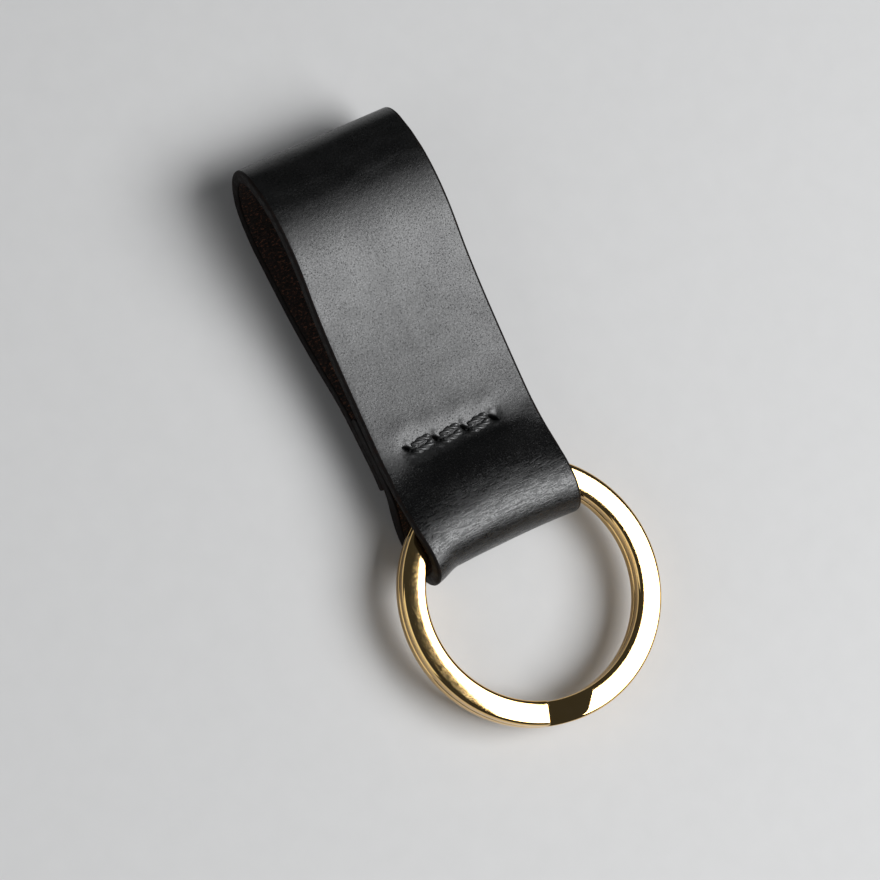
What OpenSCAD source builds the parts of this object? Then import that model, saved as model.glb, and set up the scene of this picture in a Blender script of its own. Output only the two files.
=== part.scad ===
// Leather key fob: a strip folded into a belt loop and a small ring loop, sewn once, with a flat split ring.
// X runs across the strip, Y along the fob from the ring to the belt loop, and Z up from the table.
// The origin lies on the table under the middle of the whole fob.

/* [Leather strip] */
// Width of the strip
strap_w = 21; // [19:0.5:22]
// Thickness of the leather
leather_t = 1.6; // [1.3:0.05:1.7]
// Length from the small fold to the big fold, over the outsides
fob_len = 54; // [50:0.5:60]
// Height of the belt loop at its fullest
belly_h = 12.4; // [10:0.2:14]

/* [Ring loop] */
// Height of the small fold's underside above the table
ring_loop_z = 0.2; // [0:0.1:1]
// Height of the small loop over its outsides
ring_loop_h = 8.6; // [8.5:0.05:9]
// Where the small loop's stiff part ends, from the small fold
ring_loop_end = 10.4; // [10.4:0.1:11]
// Rise of the small loop's back wall towards the neck
ring_loop_rise = 1.5; // [0.8:0.1:1.6]

/* [Sewn stack] */
// Where the three layers start, from the small fold
stack_from = 12.8; // [12.4:0.1:13.2]
// Height of the underside of the stack
stack_z = 2.5; // [2:0.1:3]
// Where the strip's outer end stops, on the back
outer_end_y = 12.4; // [12.4:0.1:13]
// How far the outer end springs away from the stack
outer_end_flare = 0.3; // [0.2:0.05:0.4]
// Where the strip's inner end stops, inside the belt loop
inner_end_y = 21.4; // [18:0.2:24]

/* [Seam] */
// Thickness of the thread
thread_d = 0.7; // [0.5:0.05:0.8]
// Number of holes
hole_count = 4; // [3:1:5]
// Distance between holes along the seam
hole_pitch = 3.8; // [3.4:0.1:4]
// Length of each hole's slit
slit_len = 1.6; // [1.2:0.1:1.8]
// Slant of each slit to the seam
slit_slant = 36; // [30:1:45]
// Distance from the small fold to the seam's middle
seam_y = 14.8; // [14.6:0.1:16]
// Shift of the seam's middle towards the strip's left edge
seam_shift = 0.8; // [0:0.1:1.5]
// Slant of the seam across the strip
seam_slant = 4.3; // [0:0.1:8]

/* [Split ring] */
// Outside diameter of the ring
ring_od = 32.5; // [32:0.1:32.5]
// Width of the flat wire
wire_w = 3; // [2.6:0.05:3.05]
// Height of the two stacked turns
coil_h = 3.2; // [2.8:0.05:3.2]
// Play between the two turns
coil_gap = 0.08; // [0.06:0.01:0.15]
// Rounding of the wire's edges
wire_round = 0.5; // [0.3:0.05:0.7]
// How far the ring reaches into the small loop
ring_depth = 10.1; // [10:0.05:10.2]
// Height of the ring's centre
ring_z = 4.8; // [4.7:0.05:4.9]
// Droop of the ring's far side
ring_tilt = 1.5; // [1:0.1:2]
// Direction of the middle of the crank, from +X
crank_at = -99; // [-180:1:180]
// Length of the crank along the wire
crank_len = 5.6; // [4.5:0.1:7]

/* [Hidden] */
$fn = 64;
STEPS = 5;  // stations along each stretch of a curve
ring_r = ring_od / 2;
ring_y = ring_depth - ring_r;
// the ring's far side to the big fold is the whole fob, and its middle is the origin
fob_mid_y = (fob_len + ring_y - ring_r * cos(ring_tilt)) / 2;
half_t = leather_t / 2;
strand_offset = 0.46 * thread_d;
strand_inset = 0.2;
wire_t = (coil_h - coil_gap) / 2;
back_z = stack_z + half_t;
tongue_z = back_z + leather_t;
front_z = tongue_z + leather_t;
stack_h = 3 * leather_t;
stack_top = stack_z + stack_h;
loop_low_z = ring_loop_z + half_t;
loop_high_z = ring_loop_z + ring_loop_h - half_t;
neck_low_z = loop_low_z + ring_loop_rise;
// radius of the small fold's corners at the middle of the leather
fold_r = 2;
// flat stretch that the belt loop lies on, from the big fold
flat_from = fob_len - 14;
flat_to = fob_len - 8;
TO_FOLD = [1, 0];
TO_RING = [-1, 0];

// A station is a point on the middle of the leather and the direction of the strip there.
function unit(v) = v / norm(v);
function normal(d) = [-d[1], d[0]];
function hermite(a, da, b, db, u) =
    (2 * u ^ 3 - 3 * u ^ 2 + 1) * a + (u ^ 3 - 2 * u ^ 2 + u) * da
    + (3 * u ^ 2 - 2 * u ^ 3) * b + (u ^ 3 - u ^ 2) * db;
function hermite_slope(a, da, b, db, u) =
    6 * (u ^ 2 - u) * (a - b) + (3 * u ^ 2 - 4 * u + 1) * da + (3 * u ^ 2 - 2 * u) * db;
function heading(knots, i, first, last) =
    i == 0 ? first : i == len(knots) - 1 ? last : unit(knots[i + 1] - knots[i - 1]);
// A smooth curve through the knots, which leaves and arrives in the given directions
function curve(knots, first, last) = [
    for (i = [0 : len(knots) - 2])
        let (a = knots[i], b = knots[i + 1], span = norm(b - a))
        let (da = span * heading(knots, i, first, last), db = span * heading(knots, i + 1, first, last))
        for (j = [(i == 0 ? 0 : 1) : STEPS])
            [hermite(a, da, b, db, j / STEPS), unit(hermite_slope(a, da, b, db, j / STEPS))]
];
// A quarter turn about a centre, with the strip running the way the angle grows
function corner(centre, radius, from) = [
    for (j = [0 : STEPS])
        let (a = from + 90 * j / STEPS)
        [centre + radius * [cos(a), sin(a)], [-sin(a), cos(a)]]
];

// The outer end on the back, round the big fold and down the front to the neck
function belt_loop_path() = concat(
    curve([[outer_end_y, back_z - outer_end_flare], [outer_end_y + 1.8, back_z]],
        unit([1.8, outer_end_flare]), TO_FOLD),
    curve([[22, back_z], [fob_len - 29, back_z - 0.35], [fob_len - 25, back_z - 1.2],
        [fob_len - 19, half_t + 0.4], [flat_from, half_t]], TO_FOLD, TO_FOLD),
    curve([[flat_to, half_t], [fob_len - 3.8, 2.1], [fob_len - 1.5, 4.4], [fob_len - half_t, 6.8],
        [fob_len - 1.6, 8.9], [fob_len - 4, 10.2], [fob_len - 7, belly_h - 1.25],
        [fob_len - 10.4, belly_h - half_t], [fob_len - 14.2, belly_h - 1.3], [fob_len - 20, belly_h - 3.15],
        [fob_len - 25.5, belly_h - 4.3], [21.3, front_z + 0.65], [17, front_z]], TO_FOLD, TO_RING),
    [[[stack_from, front_z], TO_RING]]
);
// From the neck along the top, round the small fold and back under the ring to the neck
function ring_loop_path() = concat(
    [[[ring_loop_end, loop_high_z], TO_RING]],
    corner([half_t + fold_r, loop_high_z - fold_r], fold_r, 90),
    corner([half_t + fold_r, loop_low_z + fold_r], fold_r, 180),
    curve([[4.6, loop_low_z], [7.4, loop_low_z + ring_loop_rise / 3], [ring_loop_end, neck_low_z]],
        TO_FOLD, TO_FOLD)
);

// Sweeps an outline of the (Y, Z) plane across the strip's width.
module across_strip()
    translate([-strap_w / 2, -fob_mid_y, 0])
        rotate([90, 0, 90])
            linear_extrude(strap_w)
                children();

module leather(path)
    across_strip()
        polygon(concat(
            [for (s = path) s[0] + half_t * normal(s[1])],
            [for (i = [len(path) - 1 : -1 : 0]) path[i][0] - half_t * normal(path[i][1])]
        ));

// A soft layer that eases from one height to another across the neck
module eased_layer(z_ring, z_stack) {
    function eased(u) = [
        ring_loop_end + (stack_from - ring_loop_end) * u,
        z_ring + (z_stack - z_ring) * (3 * u ^ 2 - 2 * u ^ 3)
    ];
    across_strip()
        polygon(concat(
            [for (j = [0 : STEPS]) eased(j / STEPS) + [0, half_t]],
            [for (j = [STEPS : -1 : 0]) eased(j / STEPS) - [0, half_t]]
        ));
}

module strap_belt_loop()
    color("#1c1b1d") {
        leather(belt_loop_path());
        leather([[[stack_from, tongue_z], TO_FOLD], [[inner_end_y, tongue_z], TO_FOLD]]);
    }

module strap_neck()
    color("#1c1b1d") {
        eased_layer(loop_high_z, front_z);
        eased_layer(neck_low_z, tongue_z);
    }

module strap_ring_loop()
    color("#1c1b1d")
        leather(ring_loop_path());

// Places its children at each of the first holes of the seam.
module along_seam(holes)
    translate([-seam_shift, seam_y - fob_mid_y, 0])
        rotate(-seam_slant)
            for (i = [0 : holes - 1])
                translate([(i - (hole_count - 1) / 2) * hole_pitch, 0, 0])
                    children();

// One waxed thread, sewn there and back: two strands from hole to hole on each face, and both through each slit
module seam_thread()
    color("#101012") {
        along_seam(hole_count - 1)
            for (face = [stack_z, stack_top], side = [-1, 1])
                translate([strand_inset, side * strand_offset, face])
                    rotate([0, 90, 0])
                        cylinder(d = thread_d, h = hole_pitch - 2 * strand_inset);
        along_seam(hole_count)
            rotate(-slit_slant)
                for (side = [-1, 1])
                    translate([side * (slit_len - thread_d) / 3, 0, stack_z])
                        cylinder(d = thread_d, h = stack_h);
    }

// Section of one turn, which rounds the wire's outer edges: side is 1 for the top turn and -1 for the lower
module turn_section(side)
    translate([ring_r - wire_w, 0])
        difference() {
            translate([0, side > 0 ? coil_gap / 2 : -coil_h / 2])
                square([wire_w, wire_t]);
            for (inner = [0, 1])
                translate([inner * wire_w, side * coil_h / 2])
                    difference() {
                        square(2 * wire_round, center = true);
                        translate([(inner == 0 ? 1 : -1) * wire_round, -side * wire_round])
                            circle(wire_round);
                    }
        }

// The stretch where the wire steps down from the top turn to the lower one
module crank_zone()
    rotate(crank_at)
        translate([ring_r - 2 * wire_w, -crank_len / 2, -coil_h])
            cube([3 * wire_w, crank_len, 2 * coil_h]);

// The wire's slope through the crank, from the lower turn up to the top one
module crank_ramp() {
    lift = (wire_t + coil_gap) / 2;
    function ramp(u) = [crank_len * (u - 0.5), lift * (6 * u ^ 2 - 4 * u ^ 3 - 1)];
    rotate(crank_at)
        translate([ring_r - 2 * wire_w, 0, 0])
            rotate([90, 0, 90])
                linear_extrude(3 * wire_w)
                    polygon(concat(
                        [for (j = [0 : 2 * STEPS]) ramp(j / (2 * STEPS)) + [0, wire_t / 2]],
                        [for (j = [2 * STEPS : -1 : 0]) ramp(j / (2 * STEPS)) - [0, wire_t / 2]]
                    ));
}

module split_ring()
    color("#c9a24a")
        translate([0, ring_y - fob_mid_y, ring_z])
            rotate([ring_tilt, 0, 0]) {
                for (side = [-1, 1])
                    difference() {
                        rotate_extrude($fn = 128)
                            turn_section(side);
                        crank_zone();
                    }
                intersection() {
                    crank_ramp();
                    difference() {
                        cylinder(r = ring_r, h = coil_h, center = true, $fn = 128);
                        cylinder(r = ring_r - wire_w, h = 2 * coil_h, center = true, $fn = 128);
                    }
                }
            }

strap_belt_loop();
strap_neck();
strap_ring_loop();
seam_thread();
split_ring();
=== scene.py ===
"""A leather key fob with a gold split ring, on a pale floor in soft studio light.

Shapes are worked out in millimetres and become metres as each mesh is made. In them Y is counted
from the small fold's outside, as the part's own sizes are, and shift() takes it to the frame.
"""
import math

import bpy
import numpy as np
from mathutils import Matrix, Vector


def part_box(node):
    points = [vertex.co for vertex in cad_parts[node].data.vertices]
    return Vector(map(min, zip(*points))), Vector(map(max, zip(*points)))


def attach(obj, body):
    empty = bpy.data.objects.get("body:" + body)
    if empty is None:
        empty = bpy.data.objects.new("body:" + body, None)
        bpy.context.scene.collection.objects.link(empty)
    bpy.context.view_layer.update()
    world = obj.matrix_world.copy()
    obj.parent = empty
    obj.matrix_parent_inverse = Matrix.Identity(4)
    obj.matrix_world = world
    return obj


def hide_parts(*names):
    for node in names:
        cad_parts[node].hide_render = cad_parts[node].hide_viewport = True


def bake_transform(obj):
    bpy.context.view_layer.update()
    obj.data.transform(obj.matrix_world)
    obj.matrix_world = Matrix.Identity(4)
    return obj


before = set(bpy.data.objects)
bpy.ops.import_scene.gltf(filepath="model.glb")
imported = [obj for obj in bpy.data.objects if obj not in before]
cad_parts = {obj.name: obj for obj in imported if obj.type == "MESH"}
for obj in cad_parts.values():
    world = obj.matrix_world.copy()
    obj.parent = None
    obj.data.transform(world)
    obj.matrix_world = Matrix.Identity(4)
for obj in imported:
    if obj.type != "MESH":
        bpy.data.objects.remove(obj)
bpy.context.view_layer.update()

MM = 0.001
belt_low, belt_high = (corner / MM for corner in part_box("strap_belt_loop"))
loop_low, loop_high = (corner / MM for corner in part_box("strap_ring_loop"))
FOLD_Y = loop_low.y
STRAP_W = belt_high.x - belt_low.x

# ---------------------------------------------------------------- the leather strip

LEATHER_T = 1.56        # a hair under the CAD's, so that sewn layers stay apart
GRAIN_ROUND = 0.34      # burnished edges: rounding on the grain side
FLESH_ROUND = 0.25      # and on the flesh side
ROW_STEP = 0.35         # mesh spacing along the strip
SEAM_ROW_STEP = 0.09
COLUMN_STEP = 0.5       # mesh spacing across it
SEAM_COLUMN_STEP = 0.11
CORNER_TURNS = np.radians(np.arange(18, 91, 18))
END_ROUND = 0.4         # rounding of the two cut ends
SPAN_PARTS = 200        # how finely the run between two knots is measured

# Middle of the leather as (Y, Z), from the outer end on the back, round the big fold, down the front,
# round the small fold and back under the ring to the inner end. Where a row has two places they are
# the strip's middle and its edges: the ring holds the small loop open in the middle only.
KNOTS = [
    [(12.4, 3.0)],
    [(14.2, 3.3)],
    [(18.0, 3.3)],
    [(22.0, 3.3)],
    [(25.0, 2.95)],
    [(29.0, 2.1)],
    [(35.0, 1.2)],
    [(40.0, 0.88)],
    [(43.0, 0.86)],
    [(46.0, 0.88)],
    [(50.2, 2.1)],
    [(52.5, 4.4)],
    [(53.2, 6.8)],
    [(52.4, 8.9)],
    [(50.2, 10.3)],
    [(47.2, 11.32)],
    [(43.9, 11.58)],
    [(39.8, 11.05)],
    [(34.0, 9.3)],
    [(28.5, 8.08)],
    [(21.3, 6.99)],
    [(17.0, 6.56)],
    [(14.8, 6.45)],
    [(12.9, 6.55)],
    [(11.3, 7.12), (11.0, 6.6)],
    [(9.6, 7.72), (9.0, 6.95)],
    [(7.4, 8.02), (7.4, 7.4)],
    [(5.3, 8.2), (5.4, 7.85)],
    [(3.3, 7.75), (3.3, 7.78)],
    [(1.8, 6.45), (1.6, 6.7)],
    [(1.15, 4.6), (0.85, 4.9)],
    [(1.6, 2.5), (1.2, 2.4)],
    [(3.0, 1.2), (2.9, 1.1)],
    [(5.0, 1.15), (4.8, 1.1)],
    [(7.6, 1.5), (7.2, 2.0)],
    [(10.1, 2.5), (9.2, 3.3)],
    [(12.0, 4.2), (11.2, 4.4)],
    [(13.6, 4.86)],
    [(16.0, 4.9)],
    [(18.5, 4.9)],
    [(21.4, 5.0)],
]
MIDDLE = np.array([k[0] for k in KNOTS])
EDGE = np.array([k[-1] for k in KNOTS])
EDGE_PULL = 2.4         # how late across the width the middle's shape gives way to the edge's

# The seam, as the CAD has it
HOLE_COUNT, HOLE_PITCH = 4, 3.8
SEAM_X, SEAM_Y, SEAM_SLANT = -0.8, 14.8, math.radians(4.3)
SLIT_LEN, SLIT_SLANT = 1.6, math.radians(36)
THREAD_D = 0.8          # over its plies; the CAD's is a plain 0.7 cylinder
SEAM_HALF = (HOLE_COUNT - 1) / 2 * HOLE_PITCH
HOLES = [(i - (HOLE_COUNT - 1) / 2) * HOLE_PITCH for i in range(HOLE_COUNT)]
SEAM_MARGIN = 1.4       # how far past its end slits the seam's columns stay fine
SEAM_REACH = 2.2        # and how far from its line its rows do
DENT_REACH = 6.0        # how far from its line the leather is drawn in
TONGUE_Z = 4.9          # height of the inner end, between the two layers that show
TONGUE_CLEAR = 0.9      # the layers that show are further from it than this

DENT_DEPTH, DENT_WIDTH = 0.3, 1.35      # the trough that the pulled thread makes
PUCKER_H, PUCKER_AT = 0.05, 2.6         # the leather swells up again at this distance from the seam
SLIT_DEPTH = 0.9
SLIT_TIP, SLIT_SWELL = 0.06, 0.1        # a slit's half width at its tips, and what its middle adds
# The lips that the thread pushes up beside a slit: height, place and width across it, place and
# width along it
LIPS = [(0.11, 0.66, 0.36, -0.45, 0.5), (0.07, -0.62, 0.3, 0.5, 0.45)]

FLARE_Y, FLARE_X = 0.75, 0.35           # how far the small fold's left corner stands out
LAST_STEP = 0.05        # from the section's last corner round to its first
ENDS_ASIDE = 50         # keeps the cut ends' grain apart from the long edges'


def unit(v):
    return v / np.maximum(np.linalg.norm(v, axis=-1, keepdims=True), 1e-12)


def bump(x, width):
    return np.exp(-(x / width) ** 2)


def ramp(x, start, end):
    t = np.clip((x - start) / (end - start), 0, 1)
    return t * t * (3 - 2 * t)


def running(steps):
    """Distance covered before and after each step."""
    return np.concatenate([[0], np.cumsum(steps)])


def shift(points):
    """Millimetres from the small fold to metres in the frame."""
    return (points + [0, FOLD_Y, 0]) * MM


def shows(z):
    """True for the layers of the seam that show, and False for the tongue between them."""
    return np.abs(z - TONGUE_Z) > TONGUE_CLEAR


def through(knots, spans, shares):
    """Points on a smooth curve through the knots, each at a share of its span."""
    heading = np.empty_like(knots)
    heading[1:-1] = unit(knots[2:] - knots[:-2])
    heading[0], heading[-1] = unit(knots[1] - knots[0]), unit(knots[-1] - knots[-2])
    a, b = knots[spans], knots[spans + 1]
    reach = np.linalg.norm(b - a, axis=-1, keepdims=True)
    u = shares[:, None]
    return ((2 * u**3 - 3 * u**2 + 1) * a + (u**3 - 2 * u**2 + u) * reach * heading[spans]
            + (3 * u**2 - 2 * u**3) * b + (u**3 - u**2) * reach * heading[spans + 1])


def stations():
    """Each row's span of knots, its share of that span and its distance along the strip."""
    spans = np.repeat(np.arange(len(KNOTS) - 1), SPAN_PARTS)
    shares = np.tile(np.arange(SPAN_PARTS) / SPAN_PARTS, len(KNOTS) - 1)
    points = through(MIDDLE, spans, shares)
    step = np.linalg.norm(np.diff(points, axis=0), axis=1)
    sewn = (np.abs(points[:-1, 0] - SEAM_Y) < SEAM_REACH) & shows(points[:-1, 1])
    rows = running(step / np.where(sewn, SEAM_ROW_STEP, ROW_STEP))
    picks = np.interp(np.linspace(0, rows[-1], int(rows[-1])), rows, np.arange(len(rows)))
    low = picks.astype(int)
    along = np.interp(picks, np.arange(len(rows)), running(step))
    return spans[low], shares[low] + (picks - low) / SPAN_PARTS, along


def sheet_middle(x, spans, shares):
    """The middle of the leather at distance x from the strip's centreline."""
    share = (np.abs(x) / (STRAP_W / 2)) ** EDGE_PULL
    yz = through(MIDDLE + share * (EDGE - MIDDLE), spans, shares)
    return np.column_stack([np.full(len(yz), x), yz])


def evened(rows, sigma=1.6):
    """Rows averaged with their neighbours, with both ends held."""
    reach = int(4 * sigma)
    weights = np.exp(-0.5 * (np.arange(-reach, reach + 1) / sigma) ** 2)
    ahead = 2 * rows[:1] - rows[reach:0:-1]
    behind = 2 * rows[-1:] - rows[-2:-reach - 2:-1]
    padded = np.concatenate([ahead, rows, behind])
    total = sum(w * padded[i:i + len(rows)] for i, w in enumerate(weights))
    return total / weights.sum()


GRAIN_SIDE, CUT_EDGE, FLESH_SIDE = range(3)     # kinds of face, and the strip's material slots


def section():
    """The strip's outline across its width: X, height, girth from the first corner, and face kind."""
    half, t = STRAP_W / 2, LEATHER_T / 2
    grain = [-half + GRAIN_ROUND]
    while grain[-1] < half - GRAIN_ROUND - 0.01:
        near_seam = abs(grain[-1] - SEAM_X) < SEAM_HALF + SEAM_MARGIN
        step = SEAM_COLUMN_STEP if near_seam else COLUMN_STEP
        grain.append(min(grain[-1] + step, half - GRAIN_ROUND))
    grain = np.array(grain)
    down, back = CORNER_TURNS, CORNER_TURNS[::-1]
    side_x = np.concatenate([half - GRAIN_ROUND * (1 - np.sin(down)),
                             half - FLESH_ROUND * (1 - np.sin(back))])
    side_h = np.concatenate([t - GRAIN_ROUND * (1 - np.cos(down)),
                             FLESH_ROUND * (1 - np.cos(back)) - t])
    flesh = grain[::-1] * (half - FLESH_ROUND) / (half - GRAIN_ROUND)
    x = np.concatenate([grain, side_x, flesh, -side_x[::-1]])
    h = np.concatenate([np.full(len(grain), t), side_h, np.full(len(grain), -t), side_h[::-1]])
    girth = running(np.hypot(np.diff(x), np.diff(h)))
    face, side = len(grain) - 1, len(side_x) + 1
    kind = np.repeat([GRAIN_SIDE, CUT_EDGE, FLESH_SIDE, CUT_EDGE], [face, side, face, side])
    return x, h, girth, kind


def seam_places(x, y):
    """Distances along and across the seam's line, from its middle."""
    dx, dy = x - SEAM_X, y - SEAM_Y
    c, s = math.cos(SEAM_SLANT), math.sin(SEAM_SLANT)
    return dx * c - dy * s, dx * s + dy * c


def seam_dent(x, y):
    """How deep the pulled thread draws the leather in; below nothing where it puckers up."""
    a, b = seam_places(x, y)
    past = np.maximum(np.abs(a) - SEAM_HALF, 0)
    waves = 0.7 + 0.3 * np.cos(2 * math.pi * (a - HOLES[0]) / HOLE_PITCH)
    drawn_in = DENT_DEPTH * bump(b, DENT_WIDTH) * bump(past, 1.0)
    puckers = PUCKER_H * bump(np.abs(b) - PUCKER_AT, 1.0) * bump(past, 1.6) * waves
    return drawn_in - puckers


def slit_dent(x, y):
    """How open the four slanted slits are, from 0 to 1, and how high the lips beside them stand."""
    a, b = seam_places(x, y)
    depth = np.zeros_like(a)
    lip = np.zeros_like(a)
    for hole in HOLES:
        along = (a - hole) * math.cos(SLIT_SLANT) - b * math.sin(SLIT_SLANT)
        across = (a - hole) * math.sin(SLIT_SLANT) + b * math.cos(SLIT_SLANT)
        lens = np.clip(1.15 - (along / SLIT_LEN * 2) ** 2, 0, 1)
        depth += lens * bump(across, SLIT_TIP + SLIT_SWELL * lens)
        for height, at, width, along_at, length in LIPS:
            lip += height * bump(across - at, width) * bump(along - along_at, length)
    return np.minimum(depth, 1), lip


def fold_marks(y, z):
    """Where the grain creases on the two folds, and where it is pressed smooth between seam and ring."""
    small = ramp(y, 10.5, 5)
    big = ramp(y, 44.5, 47.5) * ramp(z, 8, 10) * ramp(y, 53.5, 51)
    pressed = ramp(y, 6, 8.5) * ramp(y, 14, 12) * ramp(z, 5.6, 6.2)
    return small, big, pressed


def creases(x, along, small, big):
    """Fine lines across the strip that wander a little, as a height in millimetres."""
    drift = 0.5 * np.sin(x / 2.3 + along / 5) + 0.35 * np.sin(x / 0.9 + along / 2.1)
    fine = np.sin(along * 5.2 + drift * 1.4) * (0.6 + 0.4 * np.sin(x / 1.7 + along * 1.3))
    broad = np.sin(along * 2.3 + 2.2 * np.sin(x / 3.1) + drift)
    return small * (0.007 * fine + 0.012 * broad) + big * (0.006 * fine + 0.03 * broad)


def waved(rows, x, s):
    """The rows with slow waves, as leather is never straight, and the small fold's left corner flared."""
    flare = ramp(rows[:, :, 1], 6.5, 2) * ramp(x, -6.5, -10.5)
    rows[:, :, 1] -= FLARE_Y * flare
    rows[:, :, 0] += FLARE_X * flare
    free = ramp(rows[:, :, 2], 1, 5)
    rows[:, :, 2] += 0.07 * free * np.sin(s / 7.3 + x / 6.1) * np.sin(s / 17 + 0.8)
    rows[:, :, 0] += 0.06 * np.sin(s / 9.7 + 0.4) + 0.025 * np.sin(s / 3.9)
    return rows


def strip_points():
    """The strip's surface as rows along it and columns round its section, with what its looks need."""
    spans, shares, along = stations()
    x, h, girth, kind = section()
    s = along[:, None]

    def layer(places):
        rows = np.stack([evened(sheet_middle(c, spans, shares)) for c in places], axis=1)
        return waved(rows, places, s)

    middle = layer(x)
    outward = unit(np.cross(np.gradient(middle, axis=0), layer(x + 0.05) - middle))
    y, z = middle[:, :, 1], middle[:, :, 2]
    small, big, pressed = fold_marks(y, z)
    grain = h > 0
    sewn = grain & shows(z) & (np.abs(y - SEAM_Y) < DENT_REACH)
    slit, lip = slit_dent(x, y)
    lift = h - np.where(sewn, seam_dent(x, y) + SLIT_DEPTH * slit - lip, 0)
    lift += np.where(grain, creases(x, s, small, big), 0)
    to_end = np.minimum(along, along[-1] - along)
    inset = np.clip(1 - to_end / END_ROUND, 0, 1)
    lift *= (0.5 + 0.5 * np.sqrt(1 - inset**2))[:, None]
    masks = {"small_fold": small, "big_fold": big, "slit": np.where(sewn, slit, 0), "pressed": pressed}
    return middle + outward * lift[:, :, None], along, girth, kind, masks


def grid_faces(rows, columns):
    """Quads over a grid of points whose columns close into a loop."""
    r = np.arange(rows - 1)[:, None] * columns
    c = np.arange(columns)
    n = (c + 1) % columns
    quads = np.stack([r + c, r + n, r + columns + n, r + columns + c], axis=-1)
    return quads.reshape(-1, 4)


def tube_faces(rows, columns, first=0):
    """The sides and both end caps of a tube whose points start at number first."""
    last = first + rows * columns - 1
    caps = [[first + k for k in range(columns)], [last - k for k in range(columns)]]
    return (grid_faces(rows, columns) + first).tolist() + caps


def make_mesh(name, points, faces):
    mesh = bpy.data.meshes.new(name)
    mesh.from_pydata(points.tolist(), [], [list(map(int, f)) for f in faces])
    mesh.validate()
    mesh.polygons.foreach_set("use_smooth", [True] * len(mesh.polygons))
    obj = bpy.data.objects.new(name, mesh)
    bpy.context.scene.collection.objects.link(obj)
    return obj


def set_uv(obj, name, per_corner):
    layer = obj.data.uv_layers.new(name=name)
    layer.data.foreach_set("uv", np.asarray(per_corner, np.float32).ravel())


def set_mask(obj, name, values):
    attribute = obj.data.attributes.new(name, "FLOAT", "POINT")
    attribute.data.foreach_set("value", np.asarray(values, np.float32).ravel())


def cut_ends(rows, columns, n):
    """Faces that close the strip's two ends, where n of its columns lie on the grain side."""
    m = columns // 2 - n
    faces = []
    for row in (0, rows - 1):
        base = row * columns
        grain = base + np.arange(n)
        flesh = base + n + m + np.arange(n)[::-1]
        cap = [[grain[i], grain[i + 1], flesh[i + 1], flesh[i]] for i in range(n - 1)]
        cap.append([base + n - 1 + i for i in range(m + 2)])
        cap.append([base + 2 * n + m - 1 + i for i in range(m + 1)] + [base])
        faces += cap if row == 0 else [face[::-1] for face in cap]
    return faces


def strip_uv(points, along, girth, ends):
    """Each face corner's distance round the section and along the strip, in millimetres."""
    around = np.append(girth, girth[-1] + LAST_STEP)
    uv = []
    for r in range(len(along) - 1):
        for c in range(len(girth)):
            low, high = around[c], around[c + 1]
            uv += [(low, along[r]), (high, along[r]), (high, along[r + 1]), (low, along[r + 1])]
    flat = points.reshape(-1, 3)
    return uv + [(flat[v, 0] + ENDS_ASIDE, flat[v, 2]) for face in ends for v in face]


def leather_strip():
    points, along, girth, kind, masks = strip_points()
    rows, columns = points.shape[:2]
    ends = cut_ends(rows, columns, np.count_nonzero(kind == GRAIN_SIDE) + 1)
    obj = make_mesh("leather_strip", shift(points.reshape(-1, 3)),
                    grid_faces(rows, columns).tolist() + ends)
    set_uv(obj, "strip", strip_uv(points, along, girth, ends))
    for name, values in masks.items():
        set_mask(obj, name, values)
    slots = np.concatenate([np.tile(kind, rows - 1), np.full(len(ends), CUT_EDGE)])
    obj.data.polygons.foreach_set("material_index", slots.astype(np.int32))
    return obj


# ---------------------------------------------------------------- the waxed thread

STITCH_ROW = 0.07       # mesh spacing along a strand
TUBE_SIDES = 36
PLIES = 3
PLY_TURN = 2.8          # thread length in which the plies turn once
SLIT_SHARE = 0.33       # how far along its slit a strand goes in, from the slit's middle
TWIN_GAP, TWIN_BOW = 0.27, 0.24         # how far a strand keeps to its side, and bows out further
STRAND_H = 0.15         # height of a strand's middle above the drawn-in leather
DIVE, DIVE_RUN = 1.0, 0.55              # how deep it dives into a slit, and over what length
FRONT_FACE = 6.47 + LEATHER_T / 2       # heights of the sewn stack's two faces
BACK_FACE = 3.3 - LEATHER_T / 2


def strand_path(start, end, side, front):
    """One strand from slit to slit: it bows away from its twin and dives at both ends."""
    reach = np.linalg.norm(end - start)
    u = np.linspace(0, 1, int(reach / STITCH_ROW) + 1)
    heading = (end - start) / reach
    across = np.array([-heading[1], heading[0]])
    bow = side * (TWIN_GAP + TWIN_BOW * np.sin(math.pi * u))
    flat = start + u[:, None] * (end - start) + bow[:, None] * across
    face, outward = (FRONT_FACE, 1) if front else (BACK_FACE, -1)
    to_end = np.minimum(u, 1 - u) * reach
    height = STRAND_H - DIVE * (1 - ramp(to_end, 0, DIVE_RUN)) - seam_dent(flat[:, 0], flat[:, 1])
    return np.column_stack([flat, face + outward * height])


def twisted_tube(path):
    """A tube round the path whose section is three round plies that turn along it."""
    ahead = unit(np.gradient(path, axis=0))
    side = unit(np.cross(ahead, [0, 0, 1]))
    up = np.cross(side, ahead)
    run = running(np.linalg.norm(np.diff(path, axis=0), axis=1))
    angle = np.arange(TUBE_SIDES) / TUBE_SIDES * 2 * math.pi
    radius = THREAD_D / 2 * np.cos(angle % (2 * math.pi / PLIES) - math.pi / PLIES)
    turned = angle - run[:, None] * 2 * math.pi / PLY_TURN
    return (path[:, None] + side[:, None] * (radius * np.cos(turned))[:, :, None]
            + up[:, None] * (radius * np.sin(turned))[:, :, None])


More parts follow.
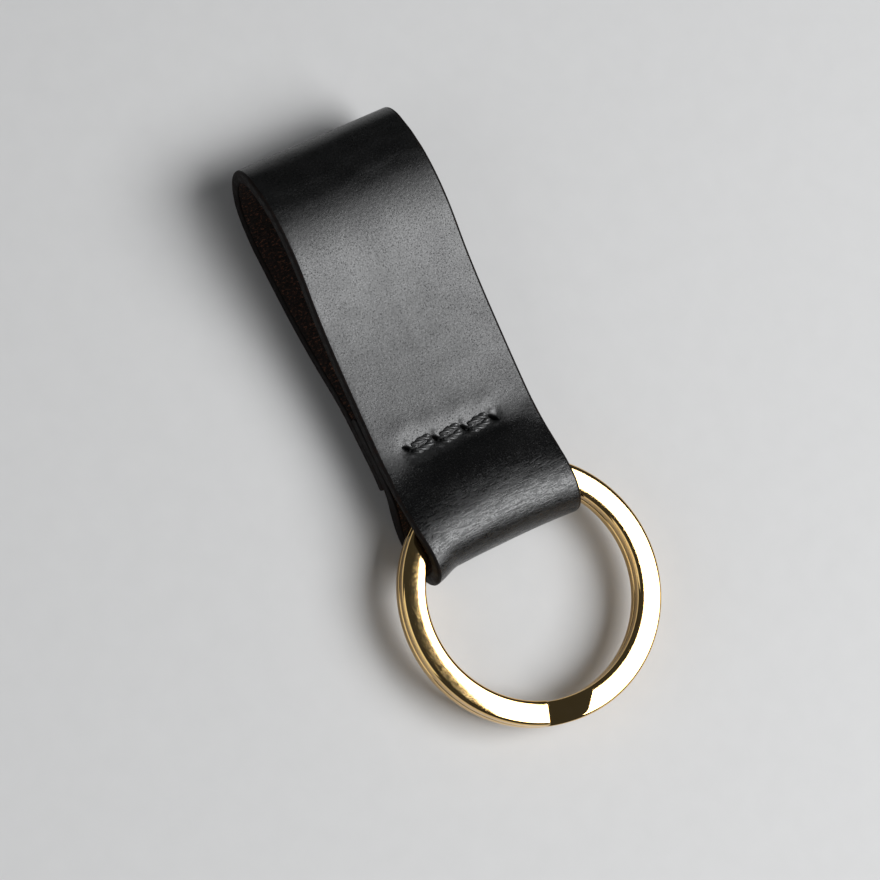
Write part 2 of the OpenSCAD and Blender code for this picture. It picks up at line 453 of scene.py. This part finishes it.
def seam_thread():
    """Two strands between neighbouring slits on each face."""
    c, s = math.cos(SEAM_SLANT), math.sin(SEAM_SLANT)
    slant = SLIT_SLANT + SEAM_SLANT
    along_slit = SLIT_SHARE * SLIT_LEN * np.array([math.cos(slant), -math.sin(slant)])
    centres = [np.array([SEAM_X + h * c, SEAM_Y - h * s]) for h in HOLES]
    points, faces = [], []
    for start, end in zip(centres, centres[1:]):
        for front in (True, False):
            for side in (-1, 1):
                tube = twisted_tube(strand_path(start + along_slit, end - along_slit, side, front))
                faces += tube_faces(*tube.shape[:2], first=sum(len(p) for p in points))
                points.append(tube.reshape(-1, 3))
    return make_mesh("waxed_thread", shift(np.concatenate(points)), faces)


# ---------------------------------------------------------------- the split ring

RING_R, WIRE_W = 16.25, 3.0             # outside radius of the coil, and width of its wire
COIL_H, COIL_GAP = 3.2, 0.08            # height over both turns, and the gap between them
WIRE_T = (COIL_H - COIL_GAP) / 2
RING_TILT = math.radians(1.5)
RING_CENTRE = np.array([0, -6.15, 4.8])
TOP_START, TOP_TURN, CRANK_TURN, LOW_TURN = -110, 339, 21, 337.2   # degrees, all clockwise
OPEN_ROUND, INNER_ROUND = 0.45, 0.2     # corners of the coil's two open faces, and between its turns
EVEN_ROUND = 0.3        # the corners that the crank's skew is measured on
FACE_DOME = 0.045       # how far the wire's flat faces fall from their middle to their edges
CRANK_SKEW = 2.6        # degrees that the step comes sooner for each millimetre towards the inside
BLUNT = 0.16            # rounding of the wire's two ends
BLUNT_ROWS = np.array([0, 0.03, 0.08, BLUNT])
LEAST_ROUND = 0.04      # what the corners keep where the ends are blunted
CORNER_POINTS, FACE_POINTS, SIDE_POINTS = 7, 10, 5     # mesh points round, across and up


def wire_section(top_round, low_round, inset):
    """The flat wire's outline: distances from its middle along the radius and up."""
    w, t = WIRE_W / 2 - inset, WIRE_T / 2 - inset
    corners = ((1, 1, top_round), (-1, 1, top_round), (-1, -1, low_round), (1, -1, low_round))
    outline = []
    for i, (sx, sz, rounding) in enumerate(corners):
        r = max(rounding - inset, LEAST_ROUND)
        for turn in np.linspace(i, i + 1, CORNER_POINTS) * math.pi / 2:
            outline.append((sx * (w - r) + r * math.cos(turn), sz * (t - r) + r * math.sin(turn)))
        x, z = outline[-1]
        if i % 2 == 0:
            outline += [(x * share, z) for share in np.linspace(1, -1, FACE_POINTS)[1:-1]]
        else:
            outline += [(x, z * share) for share in np.linspace(1, -1, SIDE_POINTS)[1:-1]]
    outline = np.array(outline)
    outline[:, 1] *= 1 - FACE_DOME / t * (outline[:, 0] / w) ** 2
    return outline


def ring_row(p, turn, middle_r, across):
    """The wire's outline where the coil has turned by p of its turn degrees."""
    down = float(ramp(p, TOP_TURN, TOP_TURN + CRANK_TURN))
    to_end = math.radians(min(p, turn - p)) * middle_r
    inset = BLUNT - math.sqrt(max(BLUNT**2 - max(BLUNT - to_end, 0) ** 2, 0))
    top_round = OPEN_ROUND + down * (INNER_ROUND - OPEN_ROUND)
    low_round = INNER_ROUND + down * (OPEN_ROUND - INNER_ROUND)
    outline = wire_section(top_round, low_round, inset)
    skewed = p - CRANK_SKEW * across
    lift = (WIRE_T + COIL_GAP) / 2 * (1 - 2 * ramp(skewed, TOP_TURN, TOP_TURN + CRANK_TURN))
    r = middle_r + outline[:, 0]
    a = math.radians(TOP_START - p)
    return np.column_stack([r * math.cos(a), r * math.sin(a), lift + outline[:, 1]])


def split_ring():
    turn = TOP_TURN + CRANK_TURN + LOW_TURN
    end = np.degrees(BLUNT_ROWS / RING_R)
    places = np.concatenate([end, np.arange(1.5, turn - 1, 1.0), turn - end[::-1]])
    across = wire_section(EVEN_ROUND, EVEN_ROUND, 0)[:, 0]
    points = np.array([ring_row(p, turn, RING_R - WIRE_W / 2, across) for p in places])
    c, s = math.cos(RING_TILT), math.sin(RING_TILT)
    tilt = np.array([[1, 0, 0], [0, c, -s], [0, s, c]])
    return make_mesh("ring_wire", shift(points.reshape(-1, 3) @ tilt.T + RING_CENTRE),
                     tube_faces(*points.shape[:2]))


# ---------------------------------------------------------------- materials


class Nodes:
    """A material's node tree, with short ways to add to it."""

    def __init__(self, name):
        self.material = bpy.data.materials.new(name)
        self.material.use_nodes = True
        self.tree = self.material.node_tree
        self.shader = next(n for n in self.tree.nodes if n.type == "BSDF_PRINCIPLED")

    def add(self, kind, inputs=None, **settings):
        node = self.tree.nodes.new(kind)
        for key, value in settings.items():
            setattr(node, key, value)
        for key, value in (inputs or {}).items():
            self.put(node.inputs[key], value)
        return node

    def put(self, socket, value):
        if isinstance(value, bpy.types.NodeSocket):
            self.tree.links.new(value, socket)
        else:
            socket.default_value = value

    def math(self, operation, a, b):
        node = self.add("ShaderNodeMath", operation=operation)
        self.put(node.inputs[0], a)
        self.put(node.inputs[1], b)
        return node.outputs[0]

    def plus(self, a, b):
        return self.math("ADD", a, b)

    def times(self, a, b):
        return self.math("MULTIPLY", a, b)

    def ease(self, value, low, high, to_low=0.0, to_high=1.0):
        node = self.add("ShaderNodeMapRange", {"Value": value, "From Min": low, "From Max": high,
                                               "To Min": to_low, "To Max": to_high})
        node.interpolation_type = "SMOOTHSTEP"
        return node.outputs[0]

    def blend(self, share, a, b):
        node = self.add("ShaderNodeMix", data_type="RGBA")
        self.put(node.inputs[0], share)
        self.put(node.inputs[6], a)
        self.put(node.inputs[7], b)
        return node.outputs[2]

    def scaled(self, vector, sizes):
        return self.add("ShaderNodeMapping", {"Vector": vector, "Scale": sizes}).outputs[0]

    def noise(self, vector, scale, detail=2.0, rough=0.5):
        node = self.add("ShaderNodeTexNoise", {"Vector": vector, "Scale": scale, "Detail": detail,
                                               "Roughness": rough})
        return node.outputs[0]

    def cells(self, vector, scale, feature="F1"):
        node = self.add("ShaderNodeTexVoronoi", {"Vector": vector, "Scale": scale}, feature=feature)
        return node.outputs["Distance"]

    def mask(self, name):
        return self.add("ShaderNodeAttribute", attribute_name=name).outputs["Fac"]

    def place(self, name):
        return self.add("ShaderNodeUVMap", uv_map=name).outputs[0]

    def relief(self, height, depth_mm, under=None):
        node = self.add("ShaderNodeBump", {"Height": height, "Distance": depth_mm * MM, "Strength": 1.0})
        if under is not None:
            self.put(node.inputs["Normal"], under)
        return node.outputs[0]

    def finish(self, **values):
        for key, value in values.items():
            self.put(self.shader.inputs[key.replace("_", " ")], value)
        return self.material


def grey(v, warm=0.0):
    return (v * (1 + warm), v, v * (1 - warm), 1)


def in_mm(m):
    """Places on a piece in millimetres, for patterns that don't follow the strip."""
    place = m.add("ShaderNodeTexCoord").outputs["Object"]
    return m.scaled(place, (1 / MM, 1 / MM, 1 / MM))


def grain_leather():
    m = Nodes("grain_side")
    uv = m.place("strip")
    small, big = m.mask("small_fold"), m.mask("big_fold")
    slit, pressed = m.mask("slit"), m.mask("pressed")
    pebble = m.cells(uv, 2.6, "SMOOTH_F1")
    pores = m.cells(uv, 3.9)
    soft = m.noise(uv, 0.25)
    fine = m.noise(uv, 5.2, 4.0, 0.75)
    lines = m.noise(m.scaled(uv, (0.75, 4.6, 1.0)), 1.0, 5.0, 0.7)
    creased = m.math("MAXIMUM", small, m.times(big, 0.3))
    pit = m.times(m.ease(pores, 0.1, 0.42, 1.0, 0.0), m.ease(fine, 0.4, 0.55))

    height = m.relief(m.ease(pebble, 0.1, 0.7), 0.006)
    height = m.relief(m.ease(pores, 0.05, 0.3), 0.01, height)
    height = m.relief(fine, 0.012, height)
    height = m.relief(m.times(lines, creased), 0.055, height)

    rough = m.ease(soft, 0.3, 0.7, 0.33, 0.38)
    rough = m.plus(rough, m.ease(fine, 0.3, 0.7, -0.1, 0.15))
    rough = m.plus(rough, m.times(pit, 0.25))
    rough = m.plus(rough, m.times(small, m.ease(lines, 0.4, 0.6, 0.06, -0.25)))
    rough = m.plus(rough, m.times(big, m.ease(lines, 0.4, 0.6, 0.02, -0.04)))
    rough = m.plus(rough, m.times(pressed, -0.1))

    colour = m.blend(m.ease(soft, 0.25, 0.75), grey(0.002), grey(0.0034))
    colour = m.blend(pit, colour, grey(0.001))
    # Painted highlight: the crease lines on the folds are painted lighter, standing in for streaks of
    # sheen along them
    colour = m.blend(m.times(creased, m.ease(lines, 0.52, 0.72)), colour, grey(0.009))
    # Painted shade: the open slits are painted near black and their shine is cut below, for the shade
    # inside the holes
    colour = m.blend(slit, colour, grey(0.0015))

    shine = m.plus(m.times(slit, -0.62), 0.7)
    shine = m.plus(shine, m.times(big, -0.25))
    shine = m.plus(shine, m.times(pressed, -0.2))
    return m.finish(Base_Color=colour, Roughness=rough, Normal=height, Specular_IOR_Level=shine)


def edge_leather():
    m = Nodes("burnished_edge")
    uv = m.place("strip")
    fibres = m.noise(m.scaled(uv, (5.0, 1.4, 1.0)), 1.0, 5.0, 0.65)
    mottle = m.noise(uv, 1.1, 3.0)
    colour = m.blend(m.ease(fibres, 0.35, 0.7), (0.002, 0.0017, 0.0016, 1), (0.008, 0.005, 0.004, 1))
    colour = m.blend(m.ease(mottle, 0.5, 0.75, 0, 0.6), colour, (0.016, 0.0065, 0.004, 1))
    normal = m.relief(fibres, 0.05)
    return m.finish(Base_Color=colour, Roughness=m.ease(mottle, 0.3, 0.7, 0.5, 0.7), Normal=normal,
                    Specular_IOR_Level=0.12)


def flesh_leather():
    m = Nodes("flesh_side")
    uv = m.place("strip")
    nap = m.noise(uv, 3.4, 6.0, 0.7)
    tufts = m.noise(m.scaled(uv, (0.9, 1.5, 1.0)), 1.0, 4.0, 0.6)
    specks = m.ease(m.noise(m.scaled(uv, (2.2, 3.6, 1.0)), 1.0, 5.0, 0.75), 0.5, 0.66)
    colour = m.blend(m.ease(nap, 0.35, 0.7), (0.006, 0.005, 0.0045, 1), (0.04, 0.028, 0.022, 1))
    warm = m.times(specks, m.ease(tufts, 0.36, 0.6, 0.25, 1.0))
    colour = m.blend(warm, colour, (0.36, 0.15, 0.085, 1))
    normal = m.relief(nap, 0.12, m.relief(tufts, 0.12))
    return m.finish(Base_Color=colour, Roughness=m.ease(nap, 0.3, 0.7, 0.75, 0.92), Normal=normal)


def waxed_thread():
    m = Nodes("waxed_black_thread")
    fibres = m.noise(in_mm(m), 7.0, 3.0, 0.5)
    colour = m.blend(m.ease(fibres, 0.35, 0.7), grey(0.014), grey(0.04))
    rough = m.ease(fibres, 0.3, 0.7, 0.36, 0.48)
    normal = m.relief(fibres, 0.005)
    return m.finish(Base_Color=colour, Roughness=rough, Normal=normal, Specular_IOR_Level=1.0)


def gold_wire():
    m = Nodes("polished_gold")
    place = in_mm(m)
    cloud = m.noise(place, 0.45, 3.0)
    scratch = m.noise(m.scaled(place, (1.2, 22.0, 6.0)), 1.6, 3.0, 0.6)
    cross = m.noise(m.scaled(place, (18.0, 2.0, 6.0)), 1.5, 3.0, 0.6)
    marks = m.plus(m.ease(scratch, 0.55, 0.8), m.ease(cross, 0.58, 0.8))
    specks = m.ease(m.noise(place, 6.0), 0.58, 0.7)
    rough = m.plus(m.ease(cloud, 0.3, 0.7, 0.025, 0.045), m.times(marks, 0.03))
    rough = m.plus(rough, m.times(specks, 0.06))
    colour = m.blend(m.ease(cloud, 0.3, 0.7), (0.84, 0.56, 0.225, 1), (0.88, 0.60, 0.26, 1))
    normal = m.relief(marks, 0.0006, m.relief(m.noise(place, 1.8), 0.0018))
    return m.finish(Base_Color=colour, Metallic=1.0, Roughness=rough, Normal=normal)


def floor_paper():
    m = Nodes("pale_floor")
    colour = m.blend(m.noise(in_mm(m), 0.3), grey(0.6, 0.005), grey(0.63, 0.005))
    return m.finish(Base_Color=colour, Roughness=0.8)


# ---------------------------------------------------------------- putting it together

strip = leather_strip()
for material in (grain_leather(), edge_leather(), flesh_leather()):
    strip.data.materials.append(material)
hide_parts("strap_belt_loop", "strap_neck", "strap_ring_loop")
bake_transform(strip)

thread = seam_thread()
thread.data.materials.append(waxed_thread())
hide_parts("seam_thread")
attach(thread, "strap")

ring = split_ring()
ring.data.materials.append(gold_wire())
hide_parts("split_ring")
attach(ring, "ring")

# ---------------------------------------------------------------- floor, light and camera


FLOOR_SIZE = 3.0
LIT_PLACE = Vector((0, 0, 0.005))       # what the lights point at
LIGHT_COLOUR = (0.98, 0.99, 1.0)

# The camera that took the photo, as its outlines give it
LENS, SENSOR = 147.2, 36
EYE_PLACE = np.array([-148.1, -13.8, 407.9])
EYE_RIGHT = Vector((0.8506, -0.4466, 0.2775)).normalized()
EYE_BACK = Vector((-0.3408, -0.0665, 0.9378)).normalized()


def make_floor():
    h = FLOOR_SIZE / 2
    obj = make_mesh("floor", np.array([[-h, -h, 0], [h, -h, 0], [h, h, 0], [-h, h, 0]]), [[0, 1, 2, 3]])
    obj.data.materials.append(floor_paper())
    return obj


def softbox(name, direction, distance, size, power):
    light = bpy.data.lights.new(name, "AREA")
    light.shape = "SQUARE"
    light.size = size
    light.energy = power
    light.color = LIGHT_COLOUR
    obj = bpy.data.objects.new(name, light)
    bpy.context.scene.collection.objects.link(obj)
    toward = Vector(direction).normalized()
    obj.location = LIT_PLACE + toward * distance
    obj.rotation_euler = toward.to_track_quat("Z", "Y").to_euler()
    return obj


def dim_studio():
    world = bpy.data.worlds.new("studio")
    world.use_nodes = True
    background = world.node_tree.nodes["Background"]
    background.inputs["Color"].default_value = (0.9, 0.95, 1.0, 1)
    background.inputs["Strength"].default_value = 0.045
    return world


def photo_camera():
    camera = bpy.data.cameras.new("camera")
    camera.lens = LENS
    camera.sensor_width = SENSOR
    obj = bpy.data.objects.new("camera", camera)
    bpy.context.scene.collection.objects.link(obj)
    turned = Matrix((EYE_RIGHT, EYE_BACK.cross(EYE_RIGHT), EYE_BACK)).transposed().to_4x4()
    obj.matrix_world = Matrix.Translation(Vector(shift(EYE_PLACE))) @ turned
    return obj


make_floor()
softbox("key", (0.456, -0.403, 0.793), distance=0.65, size=0.5, power=5.7)
softbox("fill", (-0.9, 0.05, 0.44), distance=0.7, size=0.6, power=1.0)
bpy.context.scene.world = dim_studio()
bpy.context.scene.camera = photo_camera()
bpy.context.scene.view_settings.view_transform = "Standard"
